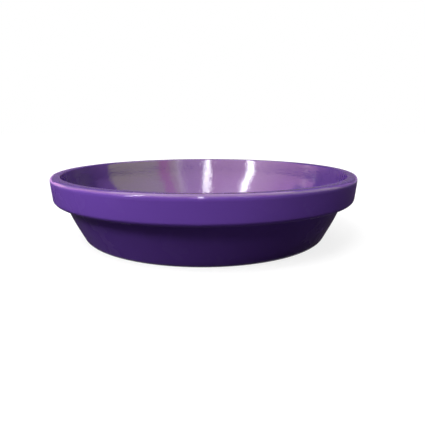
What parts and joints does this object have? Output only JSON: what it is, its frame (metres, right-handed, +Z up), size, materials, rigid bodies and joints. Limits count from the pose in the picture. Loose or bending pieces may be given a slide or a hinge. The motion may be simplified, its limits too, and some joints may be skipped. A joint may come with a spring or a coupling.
{
  "type": "plant saucer",
  "caption": "Shallow round plant saucer in enamelled sheet steel: sloping wall, deep hollow rim band and curled lip.",
  "frame": {"origin": "on the saucer's axis, level with the ground that its foot ring stands on", "axes": "+Z up along the axis of the saucer; it is round, so +X and +Y are any two directions square to each other"},
  "size_m": [0.203, 0.203, 0.043],
  "materials": {
    "enamel": "high-gloss violet enamel on spun sheet steel",
    "wire_steel": "bare drawn steel wire, hidden inside the lip"
  },
  "bodies": {
    "root": {"saucer_pan": "enamel", "rim_band": "enamel", "rim_wire": "wire_steel"}
  },
  "joints": []
}
